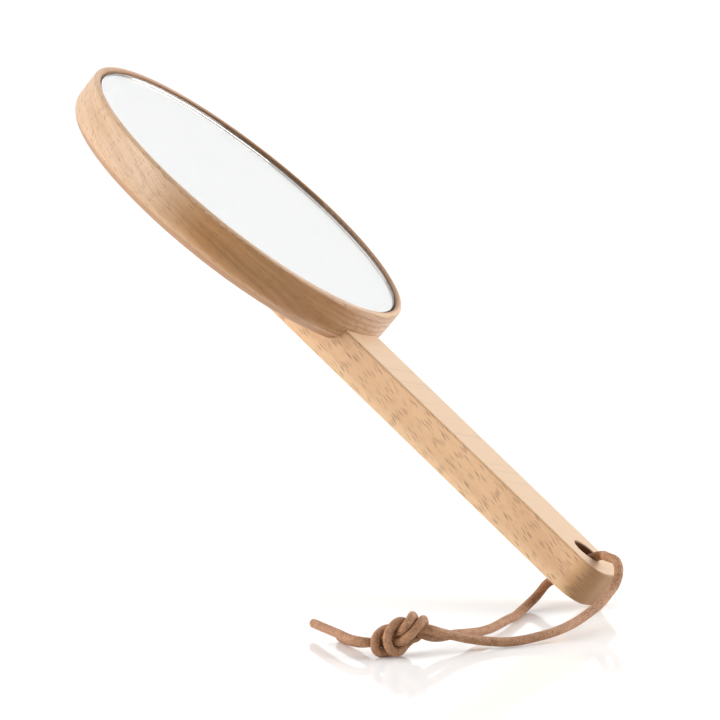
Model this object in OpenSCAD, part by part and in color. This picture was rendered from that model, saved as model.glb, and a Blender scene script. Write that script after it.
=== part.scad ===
// Hand mirror: a round wooden head with a glass let into its front, a straight
// handle housed in its back, and a knotted leather hanging cord.
// Millimetres. Origin at the middle of the grip, +Z up, +X from the head
// towards the handle's free end, +Y away from the side the cord trails on.

/* [Head] */
// Outside diameter of the wooden head
head_d = 120; // [116:1:126]
// Thickness of the head, front rim to flat back
head_t = 14.6; // [13.6:0.2:17]
// How much smaller the head's radius is at its back edge
head_taper = 0.1; // [0:0.1:1]
// Radius of the rounded back edge
back_edge_r = 6; // [4:0.5:7]
// Diameter of the recess that holds the glass
recess_d = 115.6; // [112:0.1:115.6]
// Depth of the recess below the front rim
recess_depth = 3.9; // [3.7:0.1:4.2]
// Radius on the outer corner of the rim
rim_outer_r = 1.2; // [0.8:0.1:1.2]
// Radius on the inner corner of the rim
rim_inner_r = 0.8; // [0.4:0.1:0.8]

/* [Glass] */
// Gap all round between the glass and the recess wall
glass_gap = 0.3; // [0.2:0.1:0.6]
// Thickness of the glass
glass_t = 2; // [1.9:0.1:2.2]
// How far the glass face lies below the rim
glass_drop = 0.9; // [0.8:0.1:1]
// Width of the ground arris round the glass face
arris = 0.4; // [0.2:0.1:0.6]
// Diameter of each adhesive pad behind the glass
pad_d = 24; // [16:1:28]

/* [Handle] */
// Width of the handle
handle_w = 22.3; // [20:0.1:24]
// Thickness of the handle
handle_t = 12.2; // [11:0.1:13]
// How far the handle's front face lies below the head's front rim
handle_drop = 8; // [7.8:0.1:8.6]
// Centre of the head to the handle's free end
handle_reach = 172.5; // [165:0.5:185]
// How far the handle runs on past the centre of the head
handle_lap = 20; // [12:1:30]
// Corner radius of the handle's free end
end_corner_r = 8.5; // [6:0.5:9.5]
// Radius on the handle's long edges
edge_r = 0.8; // [0.6:0.1:1.5]
// Diameter of the hole for the cord
hole_d = 9; // [8.5:0.1:9.5]
// Centre of that hole to the handle's free end
hole_inset = 11.5; // [11:0.5:12]
// Chamfer on each mouth of the hole
hole_chamfer = 0.4; // [0.2:0.1:0.8]
// Clearance between the handle and its housing in the head
housing_gap = 0.1; // [0.05:0.05:0.2]

/* [Screws] */
// Outside diameter of the two wood screws
screw_d = 3.5; // [3:0.1:4]
// Head diameter of the screws
screw_head_d = 6.8; // [6:0.1:7.5]
// Length of the screws
screw_len = 10; // [8:0.5:12]

/* [Cord] */
// Diameter of the round leather cord
cord_d = 2.8; // [2.6:0.1:3]
// Greatest diameter of the knot
knot_d = 12.4; // [11:0.2:12.4]
// Length of the knot along the cord
knot_len = 16; // [14:1:16]

/* [Pose] */
// Slope of the handle below level
lean = 35; // [34:0.5:36]
// Turn of the mirror about its own handle
roll = -16.5; // [-17:0.5:-16]

/* [Hidden] */
$fn = 96;

wood = [0.85, 0.68, 0.50];
wood_pale = [0.90, 0.76, 0.58];
leather = [0.74, 0.58, 0.48];

eps = 1;                        // overrun of a cutting tool past a face
grip_x = 112;                   // head centre to the middle of the grip
grip_z = -handle_drop - handle_t / 2;
handle_back = -handle_drop - handle_t;
hole_x = handle_reach - hole_inset;
screw_x = [-6, 40];             // places of the screws along the handle
screw_head_h = 1.8;
screw_core_d = screw_d - 1;
screw_pitch = 1.4;
thread_from = 3.6;              // head face to the first thread
thread_turns = 4;
silver_t = 0.08;
paint_t = 0.1;
layer_gap = 0.02;               // air film between the glass and its coatings
silver_top = -glass_drop - glass_t - layer_gap;
paint_top = silver_top - silver_t - layer_gap;
pad_top = paint_top - paint_t;
pad_ring = 33;                  // pads' distance from the head's centre
pad_turn = 45;

// Middle line of the cord, in the order it runs: out of the middle of the hole,
// over the handle's end, down and along the table into the knot.
front_route = [
    [40, 0, -28], [42, 1, -27], [43, 1.5, -26.5], [46, 2.5, -25], [49.5, 1.5, -24],
    [53.5, -3, -23], [55.5, -4.5, -23], [58, -5.5, -23], [60.5, -7, -24],
    [62.5, -9.5, -26.5], [63, -12.5, -29.5], [63.5, -17, -31.5], [64, -22, -33.5],
    [64, -29.5, -35.5], [64.5, -36, -36.5], [65, -42.5, -37], [64.5, -48, -37.5],
    [63, -53, -38], [60.5, -58.5, -38.5], [57.5, -63.5, -38.5], [53.5, -69.5, -37.5],
    [50.5, -75, -36], [48.5, -81, -34], [47.5, -85, -32.5], [46.5, -87.5, -32]
];
// Out of the hole behind the handle, down to the table and along it.
rear_route = [
    [40, 0, -28], [37.5, -1.5, -30.5], [35.5, -3.5, -32], [34, -6, -33.5],
    [33.5, -9.5, -36], [33.5, -13, -37.5], [34.5, -18, -38.5], [37, -24.5, -38.5],
    [39.5, -31, -38.5], [42, -39, -38], [44, -47, -38], [45, -52.5, -38],
    [46, -60, -37.5], [46.5, -68, -36.5], [46, -73, -36], [45.5, -77, -36],
    [45, -81.5, -35.5], [44, -85, -35]
];
long_tail_route = [
    [36, -95.5, -35], [33.5, -97.5, -35.5], [30, -98.5, -35.5], [26, -97.5, -35.5],
    [19, -93.5, -35.5], [10, -87.5, -36], [2, -82, -36.5]
];
short_tail_route = [
    [36.5, -95, -36.5], [34, -94.5, -36.5], [30, -92.5, -37], [25.5, -91, -38],
    [20, -88.5, -38.5], [13.5, -84.5, -39]
];
knot_at = [39.5, -90.5, -34];
knot_turn = 229;                // heading of the knot, legs to tails
knot_dip = 5;                   // slope of the knot below level
cord_sides = 8;

// Puts a piece drawn on the head's own axes where the tilted mirror holds it:
// head centre at the origin, front rim at z = 0, handle along +X.
module in_pose() {
    rotate([0, lean, 0])
        rotate([roll, 0, 0])
            translate([-grip_x, 0, -grip_z])
                children();
}

module handle_outline(gap = 0) {
    r_in = handle_w / 2 + gap;
    r_out = end_corner_r;
    translate([-handle_lap + handle_w / 2, 0])
        circle(r_in);
    translate([-handle_lap + handle_w / 2, -r_in])
        square([handle_reach + handle_lap - handle_w / 2 - r_out, 2 * r_in]);
    translate([handle_reach - r_out - eps, -r_in + r_out])
        square([r_out + eps, 2 * (r_in - r_out)]);
    for (side = [-1, 1])
        translate([handle_reach - r_out, side * (r_in - r_out)])
            circle(r_out);
}

module head_profile() {
    r = head_d / 2;
    r_back = r - head_taper;
    r_lip = recess_d / 2 + rim_inner_r;
    difference() {
        union() {
            polygon([
                [0, -head_t], [r_back - back_edge_r, -head_t], [r_back, -head_t + back_edge_r],
                [r, -rim_outer_r], [r - rim_outer_r, 0], [0, 0]
            ]);
            translate([r_back - back_edge_r, -head_t + back_edge_r])
                circle(back_edge_r);
            translate([r - rim_outer_r, -rim_outer_r])
                circle(rim_outer_r);
        }
        translate([-eps, -recess_depth])
            square([recess_d / 2 + eps, recess_depth + eps]);
        translate([-eps, -rim_inner_r])
            square([r_lip + eps, rim_inner_r + eps]);
    }
    translate([r_lip, -rim_inner_r])
        circle(rim_inner_r);
}

module head_disc() {
    color(wood)
        in_pose()
            difference() {
                rotate_extrude()
                    head_profile();
                translate([0, 0, -head_t - eps])
                    linear_extrude(head_t + eps - handle_drop)
                        handle_outline(housing_gap);
                for (x = screw_x)
                    translate([x, 0, -recess_depth])
                        screw_clearance();
            }
}

module screw_clearance() {
    translate([0, 0, -screw_head_h])
        cylinder(h = screw_head_h, d1 = screw_d, d2 = screw_head_d);
    translate([0, 0, -screw_len])
        cylinder(h = screw_len, d = screw_d);
}

// Section through the handle from its middle plane out to width r, edges eased
module half_section(r) {
    translate([0, handle_back])
        square([r - edge_r, handle_t]);
    translate([0, handle_back + edge_r])
        square([r, handle_t - 2 * edge_r]);
    for (z = [handle_back + edge_r, -handle_drop - edge_r])
        translate([r - edge_r, z])
            circle(edge_r, $fn = 24);
}

module handle_bar() {
    flat = handle_w / 2 - end_corner_r;
    x_in = -handle_lap + handle_w / 2;
    x_out = handle_reach - end_corner_r;
    for (side = [0, 1])
        translate([side * (x_in + x_out), 0, 0])
            rotate([90, 0, 90 + side * 180])
                translate([0, 0, x_in])
                    linear_extrude(x_out - x_in)
                        half_section(handle_w / 2);
    translate([x_in, 0, 0])
        rotate_extrude()
            half_section(handle_w / 2);
    for (side = [-1, 1])
        translate([x_out, side * flat, 0])
            rotate_extrude()
                half_section(end_corner_r);
    translate([x_out, flat, 0])
        rotate([90, 0, 0])
            linear_extrude(2 * flat)
                half_section(end_corner_r);
}

module cord_hole() {
    mouth_d = hole_d + 2 * hole_chamfer;
    translate([0, 0, handle_back - eps])
        cylinder(h = handle_t + 2 * eps, d = hole_d);
    translate([0, 0, handle_back])
        cylinder(h = hole_chamfer, d1 = mouth_d, d2 = hole_d);
    translate([0, 0, -handle_drop - hole_chamfer])
        cylinder(h = hole_chamfer, d1 = hole_d, d2 = mouth_d);
}

module handle() {
    color(wood_pale)
        in_pose()
            difference() {
                handle_bar();
                translate([hole_x, 0, 0])
                    cord_hole();
                for (x = screw_x)
                    translate([x, 0, -recess_depth - screw_len])
                        cylinder(h = screw_len, d = screw_d);
            }
}

// One countersunk wood screw, its head's flat face at z = 0, point down.
module wood_screw() {
    core_r = screw_core_d / 2;
    thread_r = screw_d / 2;
    threads = [
        for (i = [0 : thread_turns - 1], k = [0, 1])
            [k == 0 ? core_r : thread_r, -thread_from - (i + k / 2) * screw_pitch]
    ];
    difference() {
        rotate_extrude()
            polygon(concat(
                [[0, 0], [screw_head_d / 2, 0], [thread_r, -screw_head_h]],
                [[thread_r, -thread_from + screw_pitch / 2]],
                threads,
                [[core_r, -screw_len + 1.5], [0, -screw_len]]
            ));
        for (turn = [0, 90])
            rotate([0, 0, turn])
                translate([-1.7, -0.35, -1.1])
                    cube([3.4, 0.7, 1.1 + eps]);
    }
}

module handle_screws() {
    color("silver")
        in_pose()
            for (x = screw_x)
                translate([x, 0, -recess_depth])
                    wood_screw();
}

module mirror_glass() {
    r = recess_d / 2 - glass_gap;
    color([0.86, 0.92, 0.93])
        in_pose()
            translate([0, 0, -glass_drop])
                rotate_extrude()
                    polygon([[0, 0], [r - arris, 0], [r, -arris], [r, -glass_t], [0, -glass_t]]);
}

module coating(top, thickness) {
    in_pose()
        translate([0, 0, top - thickness])
            cylinder(h = thickness, r = recess_d / 2 - glass_gap - arris);
}

module silver_coating() {
    color("gainsboro")
        coating(silver_top, silver_t);
}

module backing_paint() {
    color("dimgray")
        coating(paint_top, paint_t);
}

module adhesive_pads() {
    color("whitesmoke")
        in_pose()
            for (turn = [pad_turn : 90 : 359])
                rotate([0, 0, turn])
                    translate([pad_ring, 0, -recess_depth])
                        cylinder(h = recess_depth + pad_top, d = pad_d);
}

// --- Cord: a round tube with a ring of corners at each point of its route ---
function unit(v) = v / norm(v);
function at_end(p, i) =
    i < 0 ? 2 * p[0] - p[1]
    : i >= len(p) ? 2 * p[len(p) - 1] - p[len(p) - 2]
    : p[i];
function heading(p, i) = unit(at_end(p, i + 1) - at_end(p, i - 1));
// A direction across the cord at each point, carried along without twist
function sideways(p, first) = [
    for (i = 0, s = unit(first - heading(p, 0) * (first * heading(p, 0)));
        i < len(p);
        i = i + 1,
        s = i < len(p) ? unit(s - heading(p, i) * (s * heading(p, i))) : s)
        s
];

module cord_tube(route) {
    p = route;
    side = sideways(p, [0, 0, 1]);
    last = len(p) - 1;
    points = [
        for (i = [0 : last], k = [0 : cord_sides - 1])
            let (turn = (k + 0.5) * 360 / cord_sides, other = cross(heading(p, i), side[i]))
                p[i] + cord_d / 2 * (side[i] * cos(turn) + other * sin(turn))
    ];
    walls = [
        for (i = [0 : last - 1], k = [0 : cord_sides - 1])
            let (j = (k + 1) % cord_sides, a = i * cord_sides, b = a + cord_sides)
                [a + k, b + k, b + j, a + j]
    ];
    near_cap = [[for (k = [0 : cord_sides - 1]) k]];
    far_cap = [[for (k = [cord_sides - 1 : -1 : 0]) last * cord_sides + k]];
    polyhedron(points, concat(walls, near_cap, far_cap));
}

module cord_front_leg() {
    color(leather)
        cord_tube(front_route);
}

module cord_rear_leg() {
    color(leather)
        cord_tube(rear_route);
}

module cord_knot() {
    end_r = knot_d / 3;
    belly = knot_len / 4;
    color(leather)
        translate(knot_at)
            rotate([0, 90 + knot_dip, knot_turn])
                rotate_extrude()
                    polygon([
                        [0, -knot_len / 2], [end_r, -knot_len / 2], [knot_d / 2, -belly],
                        [knot_d / 2, belly], [end_r, knot_len / 2], [0, knot_len / 2]
                    ]);
}

module cord_tail_long() {
    color(leather)
        cord_tube(long_tail_route);
}

module cord_tail_short() {
    color(leather)
        cord_tube(short_tail_route);
}

head_disc();
handle();
handle_screws();
mirror_glass();
silver_coating();
backing_paint();
adhesive_pads();
cord_front_leg();
cord_rear_leg();
cord_knot();
cord_tail_long();
cord_tail_short();
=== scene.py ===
import math

import bpy
import numpy as np
from mathutils import Matrix, Vector


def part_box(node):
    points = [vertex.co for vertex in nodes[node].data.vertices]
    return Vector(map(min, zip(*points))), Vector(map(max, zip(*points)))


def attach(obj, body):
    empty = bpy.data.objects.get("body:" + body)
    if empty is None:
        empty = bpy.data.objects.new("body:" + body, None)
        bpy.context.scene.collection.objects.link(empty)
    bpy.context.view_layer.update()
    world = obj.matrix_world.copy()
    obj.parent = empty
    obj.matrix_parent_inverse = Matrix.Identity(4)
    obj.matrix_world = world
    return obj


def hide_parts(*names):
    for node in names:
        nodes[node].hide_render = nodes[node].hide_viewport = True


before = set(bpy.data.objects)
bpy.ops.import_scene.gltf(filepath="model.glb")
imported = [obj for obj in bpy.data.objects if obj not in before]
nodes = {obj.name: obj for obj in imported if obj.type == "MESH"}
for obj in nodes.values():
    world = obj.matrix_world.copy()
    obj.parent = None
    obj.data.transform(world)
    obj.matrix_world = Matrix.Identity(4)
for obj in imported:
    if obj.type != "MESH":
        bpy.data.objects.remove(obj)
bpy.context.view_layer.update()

MM = 0.001
LEAN = math.radians(35)          # slope of the handle below level
ROLL = math.radians(-16.5)       # turn of the mirror about its handle
GRIP = Vector((0.112, 0.0, -0.0141))   # the row's origin, on the mirror's own axes
TABLE_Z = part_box("handle")[0].z  # the handle's lowest point rests on the table
CORD_D = 0.0028
VIEW_AZIMUTH = math.radians(35.39)
VIEW_DOWN = math.radians(10)
HEAD_GRAIN = (0.67, -0.74, 0)    # the head's fibres run slantwise to the handle
CAMERA_AT = (1.3617, -1.9723, 0.4536)
EDGE_R = 59.0                    # radius of the head's side, in mm
HOLE_U = 161.0                   # the hole's middle along the handle, in mm
PATH_STEP = 0.5                  # mm between two points of a cord's path
HELD_POINTS = 24                 # points at the hole that aren't smoothed
LOOSE_POINTS = 12                # points past each end of the knot that may move
# painted light: the table's own glow
TABLE_GLOW = 0.08
SKY_EDGE = (-0.3, 0.7)           # where the sky turns from its front to its back brightness
SKY_FRONT = 0.25
SKY_BACK = 1.12
SOFTBOXES = [                    # name, turn, lift, width, height, brightness
    ("left_box", -110, 18, 2.1, 1.2, 4.9),
    ("right_box", 75, 26, 1.9, 1.5, 4.5),
    ("top_box", 0, 85, 1.2, 1.2, 0.8),
]


# ---------------------------------------------------------------- helpers
def mirror_axes():
    """Matrix that turns the mirror's own directions into the row frame's."""
    return Matrix.Rotation(LEAN, 3, "Y") @ Matrix.Rotation(ROLL, 3, "X")


def on_mirror(x, y, z):
    """A point on the mirror's own axes, in millimetres, placed in the row frame."""
    return mirror_axes() @ (Vector((x, y, z)) * MM - GRIP)


def view_axes():
    """Right, up and towards the viewer for the camera's direction."""
    ahead = Vector((
        -math.sin(VIEW_AZIMUTH) * math.cos(VIEW_DOWN),
        math.cos(VIEW_AZIMUTH) * math.cos(VIEW_DOWN),
        -math.sin(VIEW_DOWN),
    ))
    right = Vector((math.cos(VIEW_AZIMUTH), math.sin(VIEW_AZIMUTH), 0.0))
    return right, right.cross(ahead), -ahead


def add_object(name, data):
    obj = bpy.data.objects.new(name, data)
    bpy.context.scene.collection.objects.link(obj)
    return obj


# ---------------------------------------------------------------- camera
def make_camera():
    data = bpy.data.cameras.new("camera")
    data.lens = 400
    data.sensor_width = 36
    data.clip_start = 0.1
    data.clip_end = 30
    cam = add_object("camera", data)
    right, up, back = view_axes()
    turn = Matrix((right, up, back)).transposed().to_4x4()
    cam.matrix_world = Matrix.Translation(CAMERA_AT) @ turn
    bpy.context.scene.camera = cam


# ---------------------------------------------------------------- cord
# The cord's route in millimetres, the same points as the CAD tubes follow. Only the
# tails' first points, inside the CAD knot, are left to the strands below.
FRONT_LEG = [
    (40, 0, -28), (42, 1, -27), (43, 1.5, -26.5), (46, 2.5, -25), (49.5, 1.5, -24),
    (53.5, -3, -23), (55.5, -4.5, -23), (58, -5.5, -23), (60.5, -7, -24),
    (62.5, -9.5, -26.5), (63, -12.5, -29.5), (63.5, -17, -31.5), (64, -22, -33.5),
    (64, -29.5, -35.5), (64.5, -36, -36.5), (65, -42.5, -37), (64.5, -48, -37.5),
    (63, -53, -38), (60.5, -58.5, -38.5), (57.5, -63.5, -38.5), (53.5, -69.5, -37.5),
    (50.5, -75, -36), (48.5, -81, -34), (47.5, -85, -32.5),
]
REAR_LEG = [
    (40, 0, -28), (37.5, -1.5, -30.5), (35.5, -3.5, -32), (34, -6, -33.5),
    (33.5, -9.5, -36), (33.5, -13, -37.5), (34.5, -18, -38.5), (37, -24.5, -38.5),
    (39.5, -31, -38.5), (42, -39, -38), (44, -47, -38), (45, -52.5, -38),
    (46, -60, -37.5), (46.5, -68, -36.5), (46, -73, -36), (45.5, -77, -36),
    (45, -81.5, -35.5),
]
LONG_TAIL = [
    (30, -98.5, -35.5), (26, -97.5, -35.5), (19, -93.5, -35.5), (10, -87.5, -36),
    (2, -82, -36.5),
]
SHORT_TAIL = [
    (30, -92.5, -37), (25.5, -91, -38), (20, -88.5, -38.5), (13.5, -84.5, -39),
]
# The knot's two strands, as right / up / towards the viewer from its middle.
KNOT_AT = Vector((39.5, -90.5, -34))
FRONT_STRAND = [
    (7, 2.3, 0), (4.5, 3.3, 0), (2.3, 3.8, 1), (0.8, 4, 1.7), (-1.6, 3.3, 2.8),
    (-3.3, 1.5, 3.6), (-4, -1, 3.8), (-3.5, -3.3, 3.6), (-2.4, -4.7, 3), (-0.8, -4.4, 1.9),
    (1.2, -2.9, 0), (3.4, -0.9, -2.6), (5.9, 1.4, -4.2), (6.9, 3, -3.4), (6.7, 3.9, -0.6),
    (5.3, 2.9, 2.4), (3.2, 1.0, 3.7), (1, -0.8, 3.2), (-1, -2, 1.2), (-3.5, -2.3, -0.4),
    (-6, -2.2, -0.6), (-9, -2.1, 0.8),
]
REAR_STRAND = [
    (7, 0, -1.8), (4, 1.5, -2.4), (1, 2, -2), (-2.4, 2, -0.9), (-5, 1.6, 0.5),
    (-6.9, 0, 1.8), (-7.8, -2.2, 2.2), (-7, -4.6, 1.8), (-4.8, -5.8, 0.6), (-2.2, -5.3, -0.8),
    (0.2, -3.9, -2.4), (2.2, -1.8, -4.6), (3.9, 1.6, -5.6), (4, 4.4, -3.6),
    (3.6, 5.4, -0.4), (2.6, 4.4, 2.6), (0.8, 1.8, 3.2), (-1, -0.4, 1), (-3.5, -1.4, -2.2),
    (-6.5, -2, -3.2),
]


def knot_points(strand):
    right, up, back = view_axes()
    return [KNOT_AT + right * a + up * b + back * c for a, b, c in strand]


def smooth_path(points, step):
    """Evenly spaced points along a smooth curve through the given ones."""
    p = np.array([tuple(q) for q in points], float)
    p = np.vstack([2 * p[0] - p[1], p, 2 * p[-1] - p[-2]])
    t = np.linspace(0, 1, 24, endpoint=False)[:, None]
    fine = []
    for a, b, c, d in zip(p[:-3], p[1:-2], p[2:-1], p[3:]):
        fine.append(0.5 * (2 * b + (c - a) * t + (2 * a - 5 * b + 4 * c - d) * t**2
                           + (3 * b - a - 3 * c + d) * t**3))
    fine = np.vstack(fine + [p[-2:-1]])
    run = np.r_[0, np.cumsum(np.linalg.norm(np.diff(fine, axis=0), axis=1))]
    at = np.linspace(0, run[-1], int(run[-1] / step) + 1)
    return np.stack([np.interp(at, run, fine[:, k]) for k in range(3)], 1)


def settle(strands, free, gap, step, rounds=90):
    """Eases the free stretches apart where they lie in each other, and keeps them smooth."""
    count = [len(s) for s in strands]
    p = np.vstack(strands)
    which = np.repeat(np.arange(len(strands)), count)
    place = np.concatenate([np.arange(n) for n in count])
    first, last = np.array(free).T
    loose = ((place > first[which]) & (place < last[which]))[:, None]
    apart = (which[:, None] != which) | (abs(place[:, None] - place) * step > 1.9 * gap)
    home = p.copy()
    for _ in range(rounds):
        away = p[:, None] - p
        dist = np.linalg.norm(away, axis=2) + 1e-9
        push = np.where(apart & (dist < gap), (gap - dist) / dist, 0)[..., None] * away
        move = 0.22 * push.sum(1) + 0.05 * (home - p)
        move[1:-1] += 0.15 * ((p[:-2] + p[2:]) / 2 - p[1:-1])
        p = p + np.where(loose, move, 0)
        p[:, 2] = np.maximum(p[:, 2], TABLE_Z / MM + CORD_D / MM / 2)
    return np.split(p, np.cumsum(count)[:-1])


def fair(path, first, last, rounds=120):
    """Takes the small waves out of the path between two places, ends held. The second
    step of each round goes outward, which keeps the bends from shrinking."""
    path = path.copy()
    for weight in (0.5, -0.505) * rounds:
        inner = path[first + 1:last - 1]
        inner += weight * ((path[first:last - 2] + path[first + 2:last]) / 2 - inner)
    return path


def make_cord(name, path):
    data = bpy.data.curves.new(name, "CURVE")
    data.dimensions = "3D"
    data.bevel_depth = 1.0       # the tube's radius is this times each point's own
    data.bevel_resolution = 7
    data.use_fill_caps = True
    line = data.splines.new("POLY")
    line.points.add(len(path) - 1)
    for point, place in zip(line.points, path):
        point.co = (*(Vector(place) * MM), 1)
        point.radius = CORD_D / 2
    line.use_smooth = True
    obj = add_object(name, data)
    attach(obj, "root")
    return obj


def nearest(path, point):
    return int(np.linalg.norm(path - np.array(tuple(point)), axis=1).argmin())


def strand_path(leg, strand, tail):
    """A leg, its strand in the knot and its tail as one path, with the knot's place in it."""
    knot = knot_points(strand)
    path = smooth_path(leg + knot + tail, PATH_STEP)
    path = fair(path, HELD_POINTS, nearest(path, knot[0]))
    return path, (nearest(path, knot[0]) - LOOSE_POINTS, nearest(path, knot[-1]) + LOOSE_POINTS)


def make_cords():
    front, front_free = strand_path(FRONT_LEG, FRONT_STRAND, LONG_TAIL)
    rear, rear_free = strand_path(REAR_LEG, REAR_STRAND, SHORT_TAIL)
    gap = CORD_D / MM - 0.05
    front, rear = settle([front, rear], (front_free, rear_free), gap, PATH_STEP)
    front = fair(front, *front_free, rounds=6)
    rear = fair(rear, *rear_free, rounds=6)
    cords = []
    for name, path, stands_for in (
        ("leather_cord_front", front, ("cord_front_leg", "cord_knot", "cord_tail_long")),
        ("leather_cord_rear", rear, ("cord_rear_leg", "cord_tail_short")),
    ):
        obj = make_cord(name, path)
        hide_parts(*stands_for)
        cords.append(obj)
    return cords


# ---------------------------------------------------------------- materials
class Graph:
    """A material's nodes, written as expressions. Inputs are sockets or plain values."""

    def __init__(self, name):
        self.mat = bpy.data.materials.new(name)
        self.mat.use_nodes = True
        self.tree = self.mat.node_tree
        self.shader = self.tree.nodes["Principled BSDF"]

    @classmethod
    def of(cls, tree):
        graph = cls.__new__(cls)
        graph.tree = tree
        return graph

    def node(self, kind, inputs, **settings):
        made = self.tree.nodes.new(kind)
        for key, value in settings.items():
            setattr(made, key, value)
        for key, value in inputs.items():
            self.put(made.inputs[key], value)
        return made

    def put(self, socket, value):
        if isinstance(value, bpy.types.NodeSocket):
            self.tree.links.new(value, socket)
        else:
            socket.default_value = value

    def surface(self, **inputs):
        for key, value in inputs.items():
            self.put(self.shader.inputs[key.replace("_", " ")], value)
        return self.mat

    def calc(self, op, a, b=0.0, c=0.0):
        return self.node("ShaderNodeMath", {0: a, 1: b, 2: c}, operation=op).outputs[0]

    def dot(self, a, b):
        made = self.node("ShaderNodeVectorMath", {0: a, 1: b}, operation="DOT_PRODUCT")
        return made.outputs["Value"]

    def xyz(self, x, y, z):
        return self.node("ShaderNodeCombineXYZ", {"X": x, "Y": y, "Z": z}).outputs[0]

    def step(self, value, low, high):
        inputs = {"Value": value, "From Min": low, "From Max": high}
        made = self.node("ShaderNodeMapRange", inputs, interpolation_type="SMOOTHSTEP")
        return made.outputs["Result"]

    def noise(self, at, scale=1.0, detail=2.0, rough=0.5):
        inputs = {"Vector": at, "Scale": scale, "Detail": detail, "Roughness": rough}
        return self.node("ShaderNodeTexNoise", inputs).outputs["Fac"]

    def cells(self, at):
        """Distance to the nearest cell's middle, and two random values of that cell."""
        inputs = {"Vector": at, "Scale": 1.0, "Randomness": 0.8}
        made = self.node("ShaderNodeTexVoronoi", inputs, voronoi_dimensions="2D")
        split = self.node("ShaderNodeSeparateColor", {"Color": made.outputs["Color"]})
        return made.outputs["Distance"], split.outputs[0], split.outputs[1]

    def mix(self, share, a, b):
        made = self.node("ShaderNodeMix", {}, data_type="RGBA")
        colors = [s for s in made.inputs if s.type == "RGBA"]
        self.put(made.inputs[0], share)
        for socket, value in zip(colors, (a, b)):
            plain_color = not isinstance(value, bpy.types.NodeSocket)
            self.put(socket, (*value, 1) if plain_color else value)
        return [s for s in made.outputs if s.type == "RGBA"][0]

    def bump(self, height, strength, depth_mm):
        inputs = {"Height": height, "Strength": strength, "Distance": depth_mm * MM}
        return self.node("ShaderNodeBump", inputs).outputs["Normal"]

    def place(self):
        """The point on the mirror's own axes, in millimetres."""
        here = self.node("ShaderNodeTexCoord", {}).outputs["Object"]
        axes = mirror_axes().transposed()
        return [self.calc("MULTIPLY_ADD", self.dot(here, tuple(axis)), 1000.0, g / MM)
                for axis, g in zip(axes, GRIP)]

    def facing(self, way):
        """How squarely the surface faces along a direction of the mirror, either end of it."""
        normal = self.node("ShaderNodeNewGeometry", {}).outputs["Normal"]
        way = (mirror_axes() @ Vector(way)).normalized()
        return self.calc("ABSOLUTE", self.dot(normal, tuple(way)))


def flecks(g, along, across, long, wide, keep):
    """Short dark dashes of beech, one per cell of long by wide mm; keep is their share."""
    at = g.xyz(g.calc("MULTIPLY", along, 1 / long), g.calc("MULTIPLY", across, 1 / wide), 0.0)
    distance, chance, depth = g.cells(at)
    shape = g.calc("SUBTRACT", 1.0, g.step(distance, 0.13, 0.21))
    kept = g.step(chance, 1 - keep, 1.02 - keep)
    strength = g.calc("MULTIPLY_ADD", depth, 0.55, 0.45)
    return g.calc("MULTIPLY", g.calc("MULTIPLY", shape, kept), strength)


def streaks(g, along, across, through, length, width, detail=4.0):
    """Noise drawn out along the grain; length and width are its size in millimetres."""
    at = g.xyz(g.calc("MULTIPLY", along, 1 / length), g.calc("MULTIPLY", across, 1 / width),
               g.calc("MULTIPLY", through, 1 / width))
    return g.noise(at, 1.0, detail, 0.6)


def handle_wood():
    g = Graph("beech_handle")
    u, v, w = g.place()
    along = g.calc("MULTIPLY_ADD", w, -0.17, u)
    across = g.calc("MULTIPLY_ADD", u, 0.17, w)
    fibre = streaks(g, along, across, v, 14, 0.5)
    broad = streaks(g, along, across, v, 90, 5, 2.0)
    side = g.step(g.facing((0, 1, 0)), 0.45, 0.9)
    end = g.step(g.facing((1, 0, 0)), 0.2, 0.8)
    color = g.mix(g.step(broad, 0.35, 0.65), (0.60, 0.345, 0.168), (0.67, 0.40, 0.205))
    # the wood is paler towards the back edge of the sides, the band's border wandering with the
    # broad grain
    pale = g.calc("SUBTRACT", 1.0, g.step(g.calc("MULTIPLY_ADD", broad, 5.0, w), -16.2, -14.2))
    color = g.mix(g.calc("MULTIPLY", pale, 0.6), color, (0.78, 0.52, 0.29))
    color = g.mix(side, (0.62, 0.43, 0.27), color)
    color = g.mix(end, color, (0.34, 0.18, 0.07))
    fine = g.calc("MULTIPLY", g.step(fibre, 0.42, 0.75), 0.30)
    color = g.mix(fine, color, (0.52, 0.29, 0.14))
    share = g.calc("MULTIPLY_ADD", side, 0.86, 0.12)
    dark = g.calc("MULTIPLY", flecks(g, along, across, 8.0, 0.52, 0.62), share)
    small = g.calc("MULTIPLY", flecks(g, along, across, 5.6, 0.42, 0.5), share)
    color = g.mix(dark, color, (0.12, 0.055, 0.025))
    color = g.mix(g.calc("MULTIPLY", small, 0.55), color, (0.25, 0.12, 0.055))
    # painted shade: the hole's wall is darkened, as shade inside the hole
    past_hole = g.calc("POWER", g.calc("SUBTRACT", u, HOLE_U), 2.0)
    from_hole = g.calc("SQRT", g.calc("MULTIPLY_ADD", v, v, past_hole))
    color = g.mix(g.step(from_hole, 4.85, 4.5), color, (0.20, 0.085, 0.035))
    grain = g.calc("SUBTRACT", g.calc("MULTIPLY", fibre, 0.3), dark)
    return g.surface(Base_Color=color, Roughness=g.calc("MULTIPLY_ADD", fibre, 0.15, 0.40),
                     Normal=g.bump(grain, 0.3, 0.08))


def growth_lines(g, layer, gap):
    """Soft lines that darken slowly and end sharply, one every gap millimetres."""
    line = g.calc("FRACT", g.calc("MULTIPLY", layer, 1 / gap))
    fall = g.calc("SUBTRACT", 1.0, g.step(line, 0.86, 1.0))
    return g.calc("MULTIPLY", g.step(line, 0.25, 0.86), fall)


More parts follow.
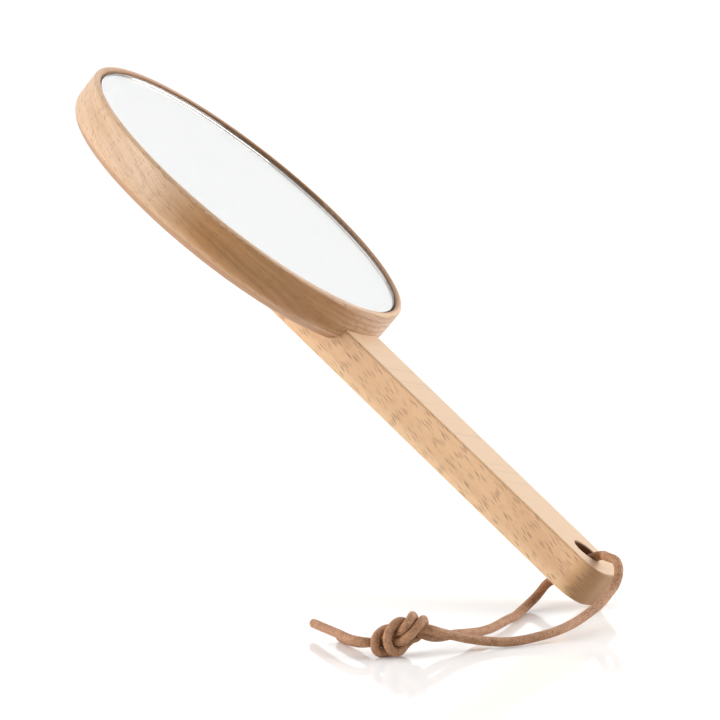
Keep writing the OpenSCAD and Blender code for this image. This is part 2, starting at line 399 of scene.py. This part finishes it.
def head_wood():
    g = Graph("beech_head")
    u, v, w = g.place()
    turn = g.calc("MULTIPLY", g.calc("ARCTAN2", v, u), EDGE_R)
    out = g.calc("SQRT", g.calc("MULTIPLY_ADD", u, u, g.calc("MULTIPLY", v, v)))
    far_end = g.step(turn, -62.0, -112.0)
    near_handle = g.step(u, 38.0, 55.0)
    # the grain runs round the side, a little steeper than the rim
    sway = streaks(g, turn, w, out, 40, 12, 2.0)
    across = g.calc("MULTIPLY_ADD", sway, 5.0, g.calc("MULTIPLY_ADD", turn, 0.13, w))
    fibre = streaks(g, turn, across, out, 9, 0.42)
    broad = streaks(g, turn, across, out, 45, 2.6, 3.0)
    layer = g.calc("MULTIPLY_ADD", sway, 4.0, g.calc("MULTIPLY_ADD", turn, 0.03, w))
    rings = growth_lines(g, layer, 1.7)
    faint = growth_lines(g, across, 0.85)
    cross = streaks(g, g.calc("MULTIPLY_ADD", turn, 0.35, w), turn, out, 7, 0.5)
    # a small oval of rings on the side, beside the far end
    eye_side = g.calc("MULTIPLY_ADD", w, 1.0, 3.6)
    eye_turn = g.calc("MULTIPLY_ADD", turn, 0.6, 92.0 * 0.6)
    eye_turn_squared = g.calc("MULTIPLY", eye_turn, eye_turn)
    eye = g.calc("SQRT", g.calc("MULTIPLY_ADD", eye_side, eye_side, eye_turn_squared))
    eye_rings = g.calc("MULTIPLY", growth_lines(g, eye, 0.9), g.step(eye, 5.0, 1.5))

    flat = g.facing((0, 0, 1))
    end = g.calc("MULTIPLY", g.step(g.facing(HEAD_GRAIN), 0.70, 0.94), g.step(flat, 0.8, 0.3))
    tone = g.step(broad, 0.35, 0.65)
    color = g.mix(tone, (0.57, 0.365, 0.215), (0.66, 0.44, 0.28))
    color = g.mix(end, color, g.mix(tone, (0.35, 0.165, 0.055), (0.46, 0.235, 0.09)))
    ringed = g.calc("MULTIPLY", rings, g.calc("MULTIPLY", near_handle, 0.55))
    color = g.mix(ringed, color, (0.36, 0.18, 0.09))
    color = g.mix(g.calc("MULTIPLY", faint, 0.13), color, (0.32, 0.16, 0.07))
    color = g.mix(g.calc("MULTIPLY", eye_rings, 0.2), color, (0.36, 0.19, 0.09))
    crossed = g.calc("MULTIPLY", g.step(cross, 0.45, 0.75), g.calc("MULTIPLY", far_end, 0.35))
    color = g.mix(crossed, color, (0.38, 0.21, 0.11))
    color = g.mix(g.calc("MULTIPLY", g.step(fibre, 0.45, 0.8), 0.38), color, (0.33, 0.17, 0.075))
    color = g.mix(g.calc("MULTIPLY", g.step(fibre, 0.40, 0.15), 0.30), color, (0.78, 0.55, 0.37))
    dark = flecks(g, turn, across, 5.5, 0.6, 0.55)
    dark = g.calc("MULTIPLY", dark, g.step(flat, 0.9, 0.6))
    color = g.mix(g.calc("MULTIPLY", dark, 0.75), color, (0.22, 0.10, 0.04))
    # painted shade: the recess's wall is darkened, as shade falls on it
    wall = g.calc("MULTIPLY", g.step(out, 59.3, 58.2), 0.75)
    color = g.mix(wall, color, (0.36, 0.17, 0.075))
    return g.surface(Base_Color=color, Roughness=g.calc("MULTIPLY_ADD", fibre, 0.15, 0.38),
                     Normal=g.bump(g.calc("SUBTRACT", fibre, dark), 0.22, 0.08))


def leather():
    g = Graph("napped_leather")
    here = g.node("ShaderNodeTexCoord", {}).outputs["Object"]
    speck = g.noise(here, 3400.0, 3.0, 0.7)
    patch = g.noise(here, 500.0, 3.0, 0.6)
    color = g.mix(g.step(patch, 0.3, 0.7), (0.33, 0.14, 0.055), (0.48, 0.235, 0.11))
    color = g.mix(g.calc("MULTIPLY", g.step(speck, 0.50, 0.64), 0.5), color, (0.78, 0.50, 0.32))
    color = g.mix(g.calc("MULTIPLY", g.step(speck, 0.50, 0.36), 0.7), color, (0.15, 0.065, 0.03))
    return g.surface(Base_Color=color, Roughness=0.55, Specular_IOR_Level=0.5,
                     Normal=g.bump(speck, 0.8, 0.3))


def clear_glass():
    g = Graph("clear_glass")
    here = g.node("ShaderNodeTexCoord", {}).outputs["Object"]
    tint = g.mix(g.noise(here, 8.0), (0.985, 1.0, 0.99), (0.995, 1.0, 0.995))
    return g.surface(Base_Color=tint, Transmission_Weight=1.0, Roughness=0.0, IOR=1.52)


def plain(name, color, rough, metal=0.0, grain=0.1):
    g = Graph(name)
    here = g.node("ShaderNodeTexCoord", {}).outputs["Object"]
    fine = g.noise(here, 900.0)
    tone = g.mix(g.calc("MULTIPLY", fine, grain), color, tuple(0.8 * c for c in color))
    return g.surface(Base_Color=tone, Roughness=rough, Metallic=metal)


def paint(name, mat):
    mesh = nodes[name].data
    mesh.materials.clear()
    mesh.materials.append(mat)


def make_materials(cords):
    paint("head_disc", head_wood())
    paint("handle", handle_wood())
    paint("handle_screws", plain("brass", (0.78, 0.6, 0.3), 0.3, 1.0))
    paint("mirror_glass", clear_glass())
    paint("silver_coating", plain("silvering", (0.97, 0.97, 0.975), 0.0, 1.0, 0.0))
    paint("backing_paint", plain("backing", (0.3, 0.3, 0.32), 0.8))
    paint("adhesive_pads", plain("pads", (0.9, 0.9, 0.88), 0.8))
    hide = leather()
    for cord in cords:
        cord.data.materials.append(hide)


# ---------------------------------------------------------------- stage
def level_axes():
    """Right and away from the viewer, along the table."""
    right = view_axes()[0]
    return right, Vector((-right.y, right.x, 0.0))


def make_stage():
    mesh = bpy.data.meshes.new("table")
    r = 6.0
    corners = [(-r, -r, TABLE_Z), (r, -r, TABLE_Z), (r, r, TABLE_Z), (-r, r, TABLE_Z)]
    mesh.from_pydata(corners, [], [(0, 1, 2, 3)])
    table = add_object("table", mesh)
    g = Graph("table_white")
    here = g.node("ShaderNodeTexCoord", {}).outputs["Object"]
    # painted shade: the table's front, out of the picture, turns dark grey as if unlit
    away = g.dot(here, tuple(level_axes()[1]))
    lit = g.step(away, -0.42, -0.2)
    color = g.mix(lit, (0.2, 0.2, 0.2), (0.9, 0.9, 0.895))
    shine = {"Roughness": 0.07, "Specular_IOR_Level": 0.3}
    # painted light: the table glows a little, which keeps it white
    glow = {"Emission_Color": color, "Emission_Strength": TABLE_GLOW}
    mesh.materials.append(g.surface(Base_Color=color, **shine, **glow))


def softbox(name, turn, lift, width, height, glow):
    """A flat white lamp 2 m off. turn is clockwise from straight behind the mirror as the
    viewer sees it, lift is above level, both in degrees; glow is its brightness."""
    right, away = level_axes()
    data = bpy.data.lights.new(name, "AREA")
    data.shape = "RECTANGLE"
    data.size = width
    data.size_y = height
    data.energy = glow * math.pi * width * height
    box = add_object(name, data)
    flat = away * math.cos(math.radians(turn)) + right * math.sin(math.radians(turn))
    lift = math.radians(lift)
    box.location = (flat * math.cos(lift) + Vector((0, 0, 1)) * math.sin(lift)) * 2
    box.rotation_euler = (-box.location).to_track_quat("-Z", "Y").to_euler()


def make_world():
    world = bpy.data.worlds.new("studio")
    world.use_nodes = True
    g = Graph.of(world.node_tree)
    way = g.node("ShaderNodeTexCoord", {}).outputs["Generated"]
    away = g.dot(way, tuple(level_axes()[1]))
    bright = g.step(away, *SKY_EDGE)
    ground = g.tree.nodes["Background"]
    g.put(ground.inputs["Color"], g.mix(bright, (SKY_FRONT,) * 3, (SKY_BACK,) * 3))
    bpy.context.scene.world = world


def make_lights():
    make_world()
    for box in SOFTBOXES:
        softbox(*box)
    bpy.context.scene.view_settings.view_transform = "Standard"


make_camera()
cords = make_cords()
make_materials(cords)
make_stage()
make_lights()
bpy.context.view_layer.update()
